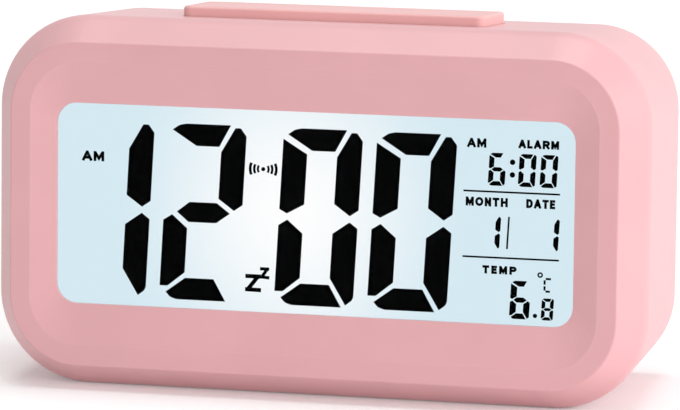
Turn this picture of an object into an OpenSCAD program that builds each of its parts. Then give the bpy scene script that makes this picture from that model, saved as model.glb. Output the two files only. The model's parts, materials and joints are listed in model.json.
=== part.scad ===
// Battery clock with a large lit display, a snooze bar on top and keys on the back.
// The case is modelled upright behind its rim plane, then leaned back onto its tapered underside.
// Case frame: X to the right, Y from the rim plane to the back, Z up from the underside's front line.

/* [Case] */
// Width across the rim, before its rounding
body_w = 135; // [124:1:170]
// Height along the front, without the snooze bar
body_h = 75.5; // [73:0.5:95]
// Corner radius at the rim
rim_r = 18.9; // [16:0.1:22]
// Depth from the rim to the back
case_depth = 38.9; // [36:0.1:60]
// Taper of the sides, and lean of the standing clock, in degrees
draft = 2.7; // [1:0.1:4]
// Depth of the sloping front edge
bezel_depth = 7.8; // [7:0.1:12]
// Width of the sloping front edge
bezel_inset = 4.85; // [3:0.05:6]
// Thickness of the case walls
wall = 2; // [1.6:0.1:2.4]
// Rounding of the rim, between the sloping edge and the sides
rim_edge_r = 5; // [1:0.1:8]
// Rounding between the face and the sloping edge
front_edge_r = 0.5; // [0.3:0.1:1.5]
// Rounding of the back edge
back_edge_r = 1.2; // [0.5:0.1:3.5]

/* [Front face] */
// Flat border between the sloping edge and the dish
border_w = 4; // [2:0.1:5]
// Width of the dish at the sides of the window
dish_x = 5.15; // [4:0.05:8]
// Width of the dish above and below the window
dish_z = 8.45; // [7:0.05:10]
// Depth of the dish at the window
dish_depth = 1.9; // [0.8:0.1:2.6]
// Corner radius of the window
window_r = 4.15; // [2:0.05:7]
// Wall left behind the dish at the window
window_wall = 0.8; // [0.6:0.1:1.4]

/* [Display] */
// Thickness of the clear window lens behind the opening
lens_t = 0.7; // [0.5:0.1:1.2]
// Thickness of each display glass
glass_t = 0.55; // [0.4:0.05:1.1]
// Thickness of the light guide
guide_t = 2.6; // [2:0.1:4]
// Room between the top of the window and the large numbers
digit_top_gap = 3.6; // [1:0.05:8]
// Room between the bottom of the window and the large numbers
digit_low_gap = 1.5; // [0.6:0.05:6]
// Room between the left end of the window and the first large number
digit_left_gap = 1.75; // [1:0.05:5]
// Width of one large number
digit_w = 16.4; // [12:0.1:17.5]
// Width of an upright stroke of the large numbers
digit_stroke = 5.1; // [2.5:0.05:5.2]
// Slant of the numbers, in degrees
digit_slant = 2.9; // [0:0.1:8]
// Width of the column of small numbers
column_w = 19.6; // [18:0.1:21]
// Room between the column and the right end of the window
column_gap = 3.1; // [2:0.1:5]

/* [Snooze bar] */
// Length of the bar
bar_w = 63; // [45:0.5:64]
// Depth of the bar from front to back
bar_depth = 19.5; // [16:0.5:22]
// Distance of the bar behind the rim
bar_front = 8; // [5:0.1:10]
// Height of the bar above the case at its middle
bar_rise = 2.25; // [1.6:0.05:4]
// Slope of the bar's top to the back, in degrees
bar_slope = 2; // [0:0.1:3]
// Corner radius of the bar
bar_r = 1.8; // [1.6:0.1:4]
// Rounding of the bar's top edge
bar_edge_r = 0.6; // [0.3:0.1:0.8]
// Travel of the bar
bar_travel = 1; // [0.5:0.1:1.3]

/* [Back keys] */
// Diameter of a back button
button_d = 6.4; // [5:0.1:7.5]
// Distance between the keys
button_pitch = 12.5; // [11:0.1:14]
// Height of the keys above the underside, at the rim plane
button_z = 54; // [52.5:0.5:56]
// Height of a button above the back
button_proud = 0.8; // [0.4:0.1:1.5]
// Travel of a button
button_travel = 0.6; // [0.3:0.1:0.8]
// Travel of the alarm switch
switch_travel = 4; // [2:0.1:4.4]

/* [Power] */
// Diameter of a cell
cell_d = 10.5; // [9.5:0.1:10.8]
// Length of a cell
cell_l = 44.5; // [40:0.1:46]
// Height of the battery well's floor line above the underside, at the rim plane
well_z = 8; // [7.6:0.1:9]
// Thickness of the battery door
door_t = 1.6; // [1.2:0.1:2]
// Length of a contact spring
spring_l = 4; // [3.6:0.1:5]

/* [Sound] */
// Diameter of the buzzer
buzzer_d = 20; // [14:0.5:24]
// Diameter of a sound hole
sound_hole_d = 1.8; // [1:0.1:2.5]

/* [Screws] */
// Shank diameter of the case screws
case_screw_d = 2.4; // [2:0.1:2.6]
// Length of the case screws under the head
case_screw_l = 12; // [10:0.5:14]
// Shank diameter of the small inner screws
small_screw_d = 1.8; // [1.4:0.1:2]

/* [Fits] */
// Clearance round a moving piece
slide_gap = 0.3; // [0.2:0.05:0.4]
// Clearance round a piece that drops into its seat
seat_gap = 0.15; // [0.1:0.05:0.25]

/* [Hidden] */
$fn = 96;
hull_fn = 40;
eps = 0.02;
far = 200;
// Cuts run past the faces that they open by this much
over = 1;
pink = [0.88, 0.66, 0.68];
white = [0.93, 0.93, 0.91];
board_green = [0.12, 0.36, 0.2];
steel = [0.72, 0.73, 0.75];
black = [0.06, 0.06, 0.07];
glass = [0.8, 0.9, 0.95];

// Case outline
corner_x = body_w / 2 - rim_r;
corner_z = body_h / 2 - rim_r;
mid_z = body_h / 2;
taper = tan(draft);
bezel_slope = bezel_inset / bezel_depth;
slope_angle = atan(bezel_slope);
bezel_extra = 0.4;
bezel_side = wall + bezel_extra;
back_inner_y = case_depth - wall;

// Distances from the sharp edges to where their roundings end; the shells meet behind the rim's rounding
front_edge_run = front_edge_r / tan(45 + slope_angle / 2);
rim_edge_run = rim_edge_r * tan((slope_angle + draft) / 2);
seam_y = rim_edge_run * cos(draft);
seam_r = rim_r - seam_y * taper;

// Window and dish
crease_w = body_w - 2 * (bezel_inset + border_w);
crease_h = body_h - 2 * (bezel_inset + border_w);
crease_r = rim_r - bezel_inset - border_w;
window_w = crease_w - 2 * dish_x;
window_h = crease_h - 2 * dish_z;
window_y = dish_depth - bezel_depth;
bezel_inner_y = window_y + window_wall;

// Display stack, front to back
film_t = 0.15;
cell_gap = 0.1;
fluid_t = 0.03;
stroke_t = cell_gap - fluid_t;
pad_recess = 0.15;
glass_margin = 1.5;
film_margin = 1;
ledge_h = 3.5;
glass_w = window_w + 2 * glass_margin;
glass_top = mid_z + window_h / 2 + glass_margin;
rear_glass_h = window_h + 2 * glass_margin;
lens_y = bezel_inner_y;
front_film_y = lens_y + lens_t;
front_glass_y = front_film_y + film_t;
segment_y = front_glass_y + glass_t;
rear_glass_y = segment_y + cell_gap;
rear_film_y = rear_glass_y + glass_t;
diffuser_y = rear_film_y + film_t;
guide_y = diffuser_y + film_t;
reflector_y = guide_y + guide_t;
frame_plate_y = reflector_y + film_t;
seal_w = 1;

// Display frame and its posts on the bezel
frame_wall = 1.4;
frame_plate_t = 1.4;
frame_back_y = frame_plate_y + frame_plate_t;
frame_w = glass_w + 2 * (seat_gap + frame_wall);
frame_low = glass_top - rear_glass_h - ledge_h - seat_gap - frame_wall;
frame_top = glass_top + seat_gap + frame_wall;
frame_post_r = 2.1;
frame_post_gap = 0.2;
frame_post_x = frame_w / 2 + frame_post_r + frame_post_gap;
frame_post_z = 16;
standoff_r = 2.4;
zebra_t = 2.6;
zebra_end = 5;
zebra_w = glass_w - 2 * zebra_end;
zebra_z = glass_top - rear_glass_h - ledge_h / 2;

// Backlight lamps at the right end of the light guide
lamp_t = 1.4;
lamp_w = 3.2;
lamp_h = 1.8;
lamp_board_t = 1;
lamp_board_end = 2;
guide_end = glass_w / 2 - lamp_t - lamp_board_t;
lamp_step = 12;

// Main board
board_t = 1.2;
standoff = 2;
board_y = frame_back_y + standoff;
board_back_y = board_y + board_t;
board_low_gap = 0.8;
board_top_gap = 3;
board_side_gap = 5.6;
board_low = frame_low + board_low_gap;
board_top = frame_top - board_top_gap;
board_half_w = frame_w / 2 - board_side_gap;
board_screw_inset = 3.2;
board_screw_rise = 6.5;
board_screw_x = board_half_w - board_screw_inset;
board_screw_low = board_low + board_screw_rise;
board_screw_top = board_top - board_screw_inset;

// Screw holes: tight pilots that the shanks bite into, and easy holes that they pass
pilot_gap = 0.02;
screw_gap = 0.25;
small_screw_gap = 0.2;
small_head_t = 1;
small_bite = 2;
pilot_spare = 0.6;
pilot_l = small_bite + pilot_spare;
small_pilot_r = small_screw_d / 2 + pilot_gap;
small_hole_r = small_screw_d / 2 + small_screw_gap;

// Case screws
boss_side = 2.6;
boss_x = corner_x - boss_side;
boss_inset = 7.2;
boss_r = 3;
bore_wall = 1.4;
head_over = 0.3;
screw_head_r = case_screw_d + head_over;
screw_head_t = 1.8;
screw_seat_t = 4;
boss_meet_y = 8;
screw_seat_y = boss_meet_y + screw_seat_t;

// Snooze bar
bar_mid_y = bar_front + bar_depth / 2;
bar_skin = 1.4;
bar_inner_r = 0.6;
bar_skirt = 4;
bar_foot_r = 2.2;
bar_rib_x = 14;
bar_rib_t = 1.2;
bar_rib_drop = 1.5;
bar_barb_l = 1.3;
bar_barb_w = 8;
bar_barb_gap = 0.35;
bar_slope_rise = bar_barb_w / 2 * tan(abs(draft - bar_slope));
snooze_switch_h = 3.5;
snooze_spare = 0.3;
snooze_plunger_l = bar_travel + snooze_spare;
bar_foot_drop = 0.2;
snooze_bar_foot = -(bar_skirt + bar_foot_drop);
snooze_board_top = snooze_bar_foot - snooze_plunger_l - snooze_switch_h;
snooze_post_gap = 4.6;
snooze_post_x = bar_w / 2 + snooze_post_gap;
snooze_post_r = 2.4;
snooze_board_depth = 11;

// Tact switches
switch_size = 6;
switch_floor = 0.4;
plunger_r = 1.7;
plunger_gap = 0.1;
plunger_root = 1.2;
plunger_spare = 0.2;

// Back keys
flange_t = 1;
flange_r = button_d / 2 + 1;
button_edge = 0.5;
key_spare = 0.6;
key_plunger_l = button_travel + key_spare;
key_switch_h = switch_floor + plunger_root + button_travel + plunger_spare;
flange_y = back_inner_y - slide_gap - flange_t;
key_board_back_y = flange_y - key_plunger_l - key_switch_h;
key_board_y = key_board_back_y - board_t;
key_board_end = 12.4;
key_board_half_w = 2 * button_pitch + key_board_end;
key_board_half_h = 5.2;
key_post_inset = 3;
key_post_x = key_board_half_w - key_post_inset;
key_post_r = 2.4;
switch_x = 2 * button_pitch;
lever_w = 2;
lever_t = 1.8;
lever_gap = 0.2;
knob_w = 4.6;
knob_h = 3;
knob_grip = 1.2;
groove_pitch = 1.2;
groove_w = 0.5;
groove_depth = 0.4;
slot_half_w = (knob_w + switch_travel) / 2 + slide_gap;
slot_half_h = knob_h / 2 + slide_gap;
switch_ends = 3.4;
switch_body_w = switch_travel + lever_w + switch_ends;
switch_body_h = 3.4;
switch_body_t = 4.6;

// Flat cable between the boards
cable_w = 9;
cable_t = 0.9;
cable_x = -1.5 * button_pitch;

// Battery well
cell_room = 0.35;
plate_t = 0.4;
plate_inset = 0.6;
well_half_x = (cell_l + spring_l + 2 * plate_t) / 2;
cell_pitch = cell_d + 2 * cell_room;
well_top = well_z + 3 * cell_pitch;
well_wall = 1.4;
door_gap = 0.2;
door_margin = 2.5;
well_floor_y = case_depth - door_t - door_gap - cell_d - 2 * cell_room;
cell_y = well_floor_y + cell_room / 2 + cell_d / 2;
ledge_y = case_depth - door_t - door_gap;
ledge_t = 1.4;
door_half_w = well_half_x + door_margin;
door_low = well_z - door_margin;
door_top = well_top + door_margin;
door_r = 2.5;
tab_x = 15;
tab_w = 6;
tab_t = 1.2;
tab_drop = 2.2;
latch_w = 12;
latch_slit = 0.7;
latch_l = 9;
latch_room = 1;
latch_side = 0.4;
latch_lip = 1.6;
grip_count = 4;
grip_pitch = 1.4;
grip_w = 0.6;
grip_drop = 1.8;
grip_side = 2;
grip_depth = 0.4;
cell_button_r = 1.9;
cell_button_l = 1;
cell_edge = 0.6;

// Contact springs
spring_wire = 0.65;
spring_r = 2.6;
spring_turns = 3;
spring_rings = 8;
spring_sides = 6;

// Buzzer
buzzer_x = (well_half_x + well_wall + body_w / 2 - wall - taper * case_depth) / 2;
buzzer_z = 27;
buzzer_t = 4;
buzzer_glue = 0.1;
buzzer_lip = 1.6;
buzzer_recess = 0.8;
buzzer_floor = 1;
buzzer_port_r = 2;
sound_ring_r = 4.5;

// Stands the case on its tapered underside, with the origin in the middle of that underside
module standing() {
    translate([0, -case_depth / 2, 0]) rotate([-draft, 0, 0]) children();
}

// Frame of the snooze bar: Z along its travel, Z 0 where the case top passes the bar's middle
module bar_frame() {
    translate([0, bar_mid_y, body_h - bar_mid_y * taper]) rotate([-bar_slope, 0, 0]) children();
}

// Solid whose edge profile is carried round a rectangle of corner centres
// Profile: x outward from the corner centre, y along the solid's own Z
module rounded_form(half_x, half_y, low, high) {
    translate([-half_x, -half_y, low]) cube([2 * half_x, 2 * half_y, high - low]);
    for (turn = [0:3]) {
        along = turn % 2 == 0 ? half_x : half_y;
        across = turn % 2 == 0 ? half_y : half_x;
        rotate(90 * turn) translate([along, across, 0]) {
            rotate_extrude(angle = 90) children();
            rotate([90, 0, 0]) linear_extrude(2 * across) children();
        }
    }
}

// The same form on the case's own outline, with its Z along the case's depth
module case_form(low, high) {
    translate([0, 0, mid_z]) rotate([-90, 0, 0])
        rounded_form(corner_x, corner_z, low, high) children();
}

// Plate with rounded corners, facing along Y, between two depths and two heights
module face_plate(w, low, high, r, y, t) {
    translate([0, y, (low + high) / 2]) rotate([-90, 0, 0])
        rounded_form(w / 2 - r, (high - low) / 2 - r, 0, t) square([r, t]);
}

// The same plate, centred on the front face
module centred_plate(w, h, r, y, t) {
    face_plate(w, mid_z - h / 2, mid_z + h / 2, r, y, t);
}

// Plain block between two corners
module block(a, b) {
    translate(a) cube(b - a);
}

// Round bar along Y
module rod_y(x, z, y0, y1, r) {
    translate([x, y0, z]) rotate([-90, 0, 0]) cylinder(r = r, h = y1 - y0);
}

// The four places of the case screws
module at_bosses() {
    for (sx = [-1, 1], z = [boss_inset, body_h - boss_inset]) translate([sx * boss_x, 0, z]) children();
}

// The four places of the display frame's screws
module at_frame_posts() {
    for (sx = [-1, 1], sz = [-1, 1]) translate([sx * frame_post_x, 0, mid_z + sz * frame_post_z]) children();
}

// The four places of the main board's screws
module at_board_screws() {
    for (sx = [-1, 1], z = [board_screw_low, board_screw_top])
        translate([sx * board_screw_x, 0, z]) children();
}

// Screw with its head towards +Y, its shank from 0 forward
module screw(d, length, head_r, head_t) {
    cross_l = 0.7 * head_r;
    cross_t = 0.14 * head_r;
    rod_y(0, 0, -length, 0, d / 2);
    difference() {
        rod_y(0, 0, 0, head_t, head_r);
        block([-cross_l, head_t / 2, -cross_t], [cross_l, head_t + over, cross_t]);
        block([-cross_t, head_t / 2, -cross_l], [cross_t, head_t + over, cross_l]);
    }
}

// Small inner screw, which bites into the post behind what it clamps
module small_screw(clamp) {
    screw(small_screw_d, clamp + small_bite, small_screw_d, small_head_t);
}

// Wire through a list of points: one tube of six sides, mitred at each point
wire_sides = 6;
// A direction that no wire follows, from which the rings take their first corner
wire_aside = [0.31, 0.17, 0.93];
function unit(v) = v / norm(v);
function wire_run(p, i) = unit(
    (i < len(p) - 1 ? unit(p[i + 1] - p[i]) : [0, 0, 0]) + (i > 0 ? unit(p[i] - p[i - 1]) : [0, 0, 0]));
function wire_ring(p, i, r) = let (
    run = wire_run(p, i),
    side = unit(cross(run, wire_aside)),
    rise = cross(side, run)
) [
    for (j = [0:wire_sides - 1]) let (turn = 360 * j / wire_sides)
        p[i] + r * (cos(turn) * side + sin(turn) * rise)
];

// Faces of a tube whose rings of points follow one another
function tube_faces(rings, sides) = let (last = (rings - 1) * sides) concat(
    [for (k = [0:rings - 2], j = [0:sides - 1]) each let (
        a = k * sides + j,
        b = k * sides + (j + 1) % sides
    ) [[a, b, b + sides], [a, b + sides, a + sides]]],
    [for (j = [1:sides - 2]) [0, j + 1, j]],
    [for (j = [1:sides - 2]) [last, last + j, last + j + 1]]);

module wire(points, r) {
    rings = len(points);
    polyhedron([for (i = [0:rings - 1]) each wire_ring(points, i, r)], tube_faces(rings, wire_sides));
}

// Front shell profiles
module bezel_outside() {
    face_r = rim_r - bezel_inset;
    polygon([
        [0, -bezel_depth], [face_r - front_edge_run, -bezel_depth],
        [face_r + front_edge_run * sin(slope_angle), front_edge_run * cos(slope_angle) - bezel_depth],
        [rim_r - rim_edge_run * sin(slope_angle), -rim_edge_run * cos(slope_angle)],
        [seam_r, seam_y], [0, seam_y]
    ]);
    translate([face_r - front_edge_run, front_edge_r - bezel_depth]) circle(r = front_edge_r);
    translate([seam_r - rim_edge_r * cos(draft), seam_y - rim_edge_r * sin(draft)]) circle(r = rim_edge_r);
}

module bezel_inside() {
    root_r = rim_r + bezel_inner_y * bezel_slope - bezel_side;
    polygon([
        [0, bezel_inner_y], [root_r, bezel_inner_y], [rim_r - bezel_side, 0],
        [rim_r - bezel_side, seam_y + over], [0, seam_y + over]
    ]);
}

// Lip of the bezel that locates it inside the rear housing
lip_l = 2.5;
lip_root = 1.5;
lip_t = 1.2;
lip_end = seam_y + lip_l;
lip_r = rim_r - wall - seat_gap - lip_end * taper;
module lip_section(r) {
    translate([0, -lip_root]) square([r, lip_root + lip_end]);
}

module dish() {
    hull() {
        centred_plate(crease_w, crease_h, crease_r, -bezel_depth - over, over, $fn = hull_fn);
        centred_plate(window_w, window_h, window_r, window_y - eps, eps, $fn = hull_fn);
    }
}

module front_bezel() color(pink) standing() {
    difference() {
        union() {
            difference() {
                intersection() {
                    case_form(-bezel_depth, seam_y) bezel_outside();
                    block([-far, -far, -far], [far, seam_y, far]);
                }
                case_form(bezel_inner_y, seam_y + over) bezel_inside();
            }
            difference() {
                case_form(-lip_root, lip_end) lip_section(lip_r);
                case_form(-lip_root - over, lip_end + over)
                    translate([0, -lip_root - over]) square([lip_r - lip_t, lip_root + lip_end + 2 * over]);
            }
            at_bosses() rod_y(0, 0, bezel_inner_y - eps, boss_meet_y, boss_r);
            at_frame_posts() rod_y(0, 0, bezel_inner_y - eps, frame_plate_y, frame_post_r);
        }
        dish();
        centred_plate(window_w, window_h, window_r, window_y - over, window_wall + 2 * over);
        pilot_y = screw_seat_y - case_screw_l - pilot_spare;
        at_bosses() rod_y(0, 0, pilot_y, far, case_screw_d / 2 + pilot_gap);
        at_frame_posts() rod_y(0, 0, frame_plate_y - pilot_l, far, small_pilot_r);
    }
}

// Rear shell profiles
fillet_y = case_depth - back_edge_r;
fillet_x = rim_r - (fillet_y * sin(draft) + back_edge_r) / cos(draft);
module housing_outside() {
    polygon([
        [0, seam_y], [seam_r, seam_y],
        [fillet_x + back_edge_r * cos(draft), fillet_y + back_edge_r * sin(draft)],
        [fillet_x, case_depth], [0, case_depth]
    ]);
    translate([fillet_x, fillet_y]) circle(r = back_edge_r);
}

module housing_inside() {
    polygon([
        [0, seam_y - over], [seam_r - wall + over * taper, seam_y - over],
        [rim_r - wall - back_inner_y * taper, back_inner_y], [0, back_inner_y]
    ]);
}

// Cut-out of the case top round the snooze bar
module bar_cutout() {
    cut_r = bar_r + slide_gap;
    bar_frame() rounded_form(bar_w / 2 - bar_r, bar_depth / 2 - bar_r, -bar_skirt - over, bar_rise + over)
        translate([0, -bar_skirt - over]) square([cut_r, bar_skirt + bar_rise + 2 * over]);
}

// Walls of the battery well and the ledge that its door lies on
module well_block() {
    outer_x = well_half_x + well_wall;
    block([-outer_x, well_floor_y - well_wall, well_z - well_wall],
        [outer_x, back_inner_y + eps, well_top + well_wall]);
    ledge_x = door_half_w + slide_gap + ledge_t;
    block([-ledge_x, ledge_y - ledge_t, door_low - slide_gap - ledge_t],
        [ledge_x, back_inner_y + eps, door_top + slide_gap + ledge_t]);
}

module well_cut() {
    block([-well_half_x, well_floor_y, well_z], [well_half_x, far, well_top]);
    face_plate(2 * (door_half_w + slide_gap), door_low - slide_gap, door_top + slide_gap,
        door_r + slide_gap, ledge_y, far);
    swing = norm([door_t + door_gap + tab_t, tab_drop]) + 2 * slide_gap;
    half = tab_w / 2 + slide_gap;
    for (sx = [-1, 1]) translate([sx * tab_x, 0, door_low])
        block([-half, case_depth - swing - tab_t, -tab_drop - slide_gap],
            [half, ledge_y + eps, swing + tab_t]);
    block([-latch_w / 2 - latch_room, ledge_y - ledge_t - latch_room, well_top - latch_room],
        [latch_w / 2 + latch_room, far, door_top + slide_gap]);
}

module sound_holes() {
    r = sound_hole_d / 2;
    rod_y(0, 0, back_inner_y - over, far, r);
    for (turn = [0:60:300])
        rod_y(sound_ring_r * cos(turn), sound_ring_r * sin(turn), back_inner_y - over, far, r);
}

// Slots for the leads in the left end wall of the well
lead_slot = 2.2;
module lead_slots() {
    for (z = [cell_z(0), cell_z(2)])
        block([-well_half_x - well_wall - over, cell_y - lead_slot / 2, z - lead_slot / 2],
            [-well_half_x + eps, cell_y + lead_slot / 2, z + lead_slot / 2]);
}

module rear_housing() color(pink) standing() {
    bore_r = screw_head_r + seat_gap;
    difference() {
        union() {
            difference() {
                case_form(seam_y, case_depth) housing_outside();
                case_form(seam_y - over, back_inner_y) housing_inside();
            }
            intersection() {
                union() {
                    at_bosses() rod_y(0, 0, boss_meet_y, back_inner_y + eps, bore_r + bore_wall);
                    well_block();
                    for (sx = [-1, 1])
                        rod_y(sx * key_post_x, button_z, key_board_back_y, back_inner_y + eps, key_post_r);
                }
                case_form(seam_y, case_depth) housing_outside();
            }
            bar_frame() for (sx = [-1, 1]) translate([sx * snooze_post_x, 0, snooze_board_top])
                cylinder(r = snooze_post_r, h = -snooze_board_top - wall / 2);
        }
        bar_cutout();
        well_cut();
        lead_slots();
        at_bosses() {
            rod_y(0, 0, screw_seat_y, far, bore_r);
            rod_y(0, 0, boss_meet_y - over, screw_seat_y + over, case_screw_d / 2 + screw_gap);
        }
        for (i = [0:3]) rod_y(key_x(i), button_z, back_inner_y - over, far, button_d / 2 + slide_gap);
        translate([switch_x, 0, button_z])
            block([-slot_half_w, back_inner_y - over, -slot_half_h], [slot_half_w, far, slot_half_h]);
        translate([buzzer_x, 0, buzzer_z]) sound_holes();
        for (sx = [-1, 1]) translate([sx * key_post_x, key_board_back_y, button_z])
            rod_y(0, 0, -over, pilot_l, small_pilot_r);
        bar_frame() for (sx = [-1, 1]) translate([sx * snooze_post_x, 0, snooze_board_top - over])
            cylinder(r = small_pilot_r, h = pilot_l + over);
    }
}

// Places of the cells and keys
function cell_z(i) = well_z + (i + 0.5) * cell_pitch;
function key_x(i) = (i - 2) * button_pitch;

module window_lens() color(glass) standing() {
    face_plate(glass_w, glass_top - rear_glass_h, glass_top, window_r + glass_margin, lens_y, lens_t);
    centred_plate(window_w - 2 * seat_gap, window_h - 2 * seat_gap, window_r - seat_gap,
        window_y + pad_recess, lens_y - window_y - pad_recess + eps);
}

// Plate of the display stack, from the glass top downward
module stack_plate(h, y, t, margin = 0) {
    half = glass_w / 2 - margin;
    block([-half, y, glass_top - h + margin], [half, y + t, glass_top - margin]);
}

module front_polarizer() color(glass) standing()
    stack_plate(rear_glass_h, front_film_y, film_t, glass_margin - film_margin);

module front_glass() color(glass) standing() stack_plate(rear_glass_h + ledge_h, front_glass_y, glass_t);

module rear_glass() color(glass) standing() stack_plate(rear_glass_h, rear_glass_y, glass_t);

module display_seal() color(white) standing() difference() {
    stack_plate(rear_glass_h, segment_y, cell_gap);
    stack_plate(rear_glass_h, segment_y - over, cell_gap + 2 * over, seal_w);
}

module rear_polarizer() color(glass) standing()
    stack_plate(rear_glass_h, rear_film_y, film_t, glass_margin - film_margin);

module diffuser_film() color(white) standing() stack_plate(rear_glass_h, diffuser_y, film_t);

module light_guide() color(glass) standing()
    block([-glass_w / 2, guide_y, glass_top - rear_glass_h], [guide_end, guide_y + guide_t, glass_top]);

module reflector_film() color(white) standing() stack_plate(rear_glass_h, reflector_y, film_t);

module backlight_board() color(board_green) standing()
    block([glass_w / 2 - lamp_board_t, guide_y, glass_top - rear_glass_h + lamp_board_end],
        [glass_w / 2, reflector_y, glass_top - lamp_board_end]);

module backlight_lamps() color(white) standing() for (i = [-1:1])
    translate([guide_end, guide_y + guide_t / 2, mid_z + i * lamp_step])
        block([0, -lamp_h / 2, -lamp_w / 2], [lamp_t, lamp_h / 2, lamp_w / 2]);

// Outlines of the seven strokes of a number, in its own width, height, stroke width and bar height
function stroke_outline(s, w, h, v, t) =
    s == "a" ? [
        [0.18 * v, h - 0.29 * t], [0.45 * v, h - 0.07 * t], [0.72 * v, h], [w - 0.66 * v, h],
        [w - 1.09 * v, h - t], [1.2 * v, h - t]
    ] : s == "b" ? [
        [w - v, h - 1.25 * t], [w - 0.47 * v, h - 0.12 * t], [w - 0.25 * v, h - 0.12 * t], [w, h - 0.48 * t],
        [w, h / 2 + 0.42 * t], [w - 0.34 * v, h / 2 + 0.14 * t], [w - v, h / 2 + 0.66 * t]
    ] : s == "c" ? [
        [w - v, 1.31 * t], [w - 0.31 * v, 0.1 * t], [w - 0.06 * v, 0.33 * t], [w, 0.5 * t],
        [w, h / 2 - 0.42 * t], [w - 0.34 * v, h / 2 - 0.14 * t], [w - v, h / 2 - 0.69 * t]
    ] : s == "d" ? [
        [1.03 * v, t], [w - 1.02 * v, t], [w - 0.48 * v, 0], [0.72 * v, 0], [0.45 * v, 0.1 * t],
        [0.26 * v, 0.33 * t]
    ] : s == "e" ? [
        [0.35 * v, h / 2 - 0.14 * t], [v, h / 2 - 0.75 * t], [v, 1.25 * t], [0.33 * v, 0.61 * t],
        [0, 0.61 * t], [0, h / 2 - 0.4 * t]
    ] : s == "f" ? [
        [0, h - 0.5 * t], [v, h - 1.17 * t], [v, h / 2 + 0.58 * t], [0.32 * v, h / 2 + 0.14 * t],
        [0, h / 2 + 0.33 * t]
    ] : [
        [0.54 * v, h / 2], [1.04 * v, h / 2 + 0.46 * t], [w - 1.06 * v, h / 2 + 0.46 * t],
        [w - 0.5 * v, h / 2], [w - 1.04 * v, h / 2 - 0.46 * t], [1.04 * v, h / 2 - 0.46 * t]
    ];

// Strokes lit for each number
LIT = ["abcdef", "bc", "abged", "abgcd", "fgbc", "afgcd", "afgedc", "abc", "abcdefg", "abcdfg"];

// Height of a level stroke, for one unit of an upright stroke's width
level_share = 0.87;

// One number with its lower left corner at x, z from the window's centre
module number(n, x, z, w, h, v) {
    for (s = LIT[n]) polygon([
        for (p = stroke_outline(s, w, h, v, level_share * v)) [x + p[0] + p[1] * tan(digit_slant), z + p[1]]
    ]);
}

// Large numbers between the window's left end and the column
// The gaps after them share the room that they leave
TIME = [1, 2, 0, 0];
gap_parts = [2.9, 7.7, 2.9, 3.5];
function sum_of(v, n) = n == 0 ? 0 : v[n - 1] + sum_of(v, n - 1);
digit_h = window_h - digit_top_gap - digit_low_gap;
digit_low = digit_low_gap - window_h / 2;
digits_x = digit_left_gap - window_w / 2;
column_end = window_w / 2 - column_gap;
column_x = column_end - column_w;
gap_part = (column_x - digits_x - len(TIME) * digit_w) / sum_of(gap_parts, len(TIME));
function digit_x(i) = digits_x + i * digit_w + gap_part * sum_of(gap_parts, i);

// Column of three rows, parted by rules: alarm time, date and temperature, each with room for a caption
rule_t = 0.36;
rule_drop = 0.25;
rule_lead = 0.35;
alarm_extra = 1.4;
row_h = (window_h - alarm_extra) / 3;
lower_rule = row_h - window_h / 2 - rule_drop;
upper_rule = lower_rule + row_h;
caption_room = 4.7;
alarm_low_gap = 1.05;
date_low_gap = 1.55;
alarm_low = upper_rule + rule_t + alarm_low_gap;
date_low = lower_rule + rule_t + date_low_gap;
small_h = upper_rule - caption_room - date_low;
small_w = 3.45;
small_gap = 0.95;
small_stroke = 1.05;
small_end_gap = 1.1;
small_x = column_end - small_end_gap - small_w;
tens_x = small_x - small_gap - small_w;
dot_r = 0.55;
colon_gap = 1.1;
colon_shares = [0.35, 0.735];
colon_x = tens_x - colon_gap;
hour_gap = 1.55;
month_w = 8.5;
month_gap = 1.4;
date_end_gap = 0.6;
date_bar_end = 0.1;
temp_low_gap = 1;
temp_room = 4.25;
temp_low = temp_low_gap - window_h / 2;
temp_w = 4.05;
temp_h = lower_rule - temp_room - temp_low;
temp_stroke = 1.3;
temp_gap = 2.4;
tenth_w = 2.45;
tenth_h = 4.4;
tenth_stroke = 0.75;
tenth_end_gap = 1.4;
tenth_x = column_end - tenth_end_gap - tenth_w;
point_r = 0.44;
point_gap = 1.15;
point_rise = 0.8;

module large_time() {
    for (i = [0:len(TIME) - 1]) number(TIME[i], digit_x(i), digit_low, digit_w, digit_h, digit_stroke);
}

module alarm_row() {
    number(6, colon_x - hour_gap - small_w, alarm_low, small_w, small_h, small_stroke);
    for (share = colon_shares) translate([colon_x, alarm_low + share * small_h]) circle(r = dot_r);
    for (x = [tens_x, small_x]) number(0, x, alarm_low, small_w, small_h, small_stroke);
}

module date_row() {
    bar_x = column_x + month_w;
    number(1, bar_x - month_gap - small_w, date_low, small_w, small_h, small_stroke);
    bar_low = date_low + date_bar_end;
    bar_h = small_h - date_bar_end;
    bar_lean = bar_h * tan(digit_slant);
    polygon([[bar_x, bar_low], [bar_x + rule_t, bar_low], [bar_x + rule_t + bar_lean, bar_low + bar_h],
        [bar_x + bar_lean, bar_low + bar_h]]);
    number(1, column_end - date_end_gap - small_w, date_low, small_w, small_h, small_stroke);
}

module temperature_row() {
    number(6, tenth_x - temp_gap - temp_w, temp_low, temp_w, temp_h, temp_stroke);
    translate([tenth_x - point_gap, temp_low + point_rise]) circle(r = point_r);
    number(8, tenth_x, temp_low, tenth_w, tenth_h, tenth_stroke);
}

module display_marks() {
    large_time();
    alarm_row();
    date_row();
    temperature_row();
    for (z = [lower_rule, upper_rule]) translate([column_x - rule_lead, z]) square([column_w, rule_t]);
}

// The strokes stand on the rear glass, behind a film of fluid
module display_segments() color(black) standing() translate([0, rear_glass_y, mid_z])
    rotate([90, 0, 0]) linear_extrude(stroke_t) display_marks();

module zebra_strip() color([0.85, 0.5, 0.55]) standing()
    block([-zebra_w / 2, segment_y, zebra_z - zebra_t / 2], [zebra_w / 2, board_y, zebra_z + zebra_t / 2]);

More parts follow.
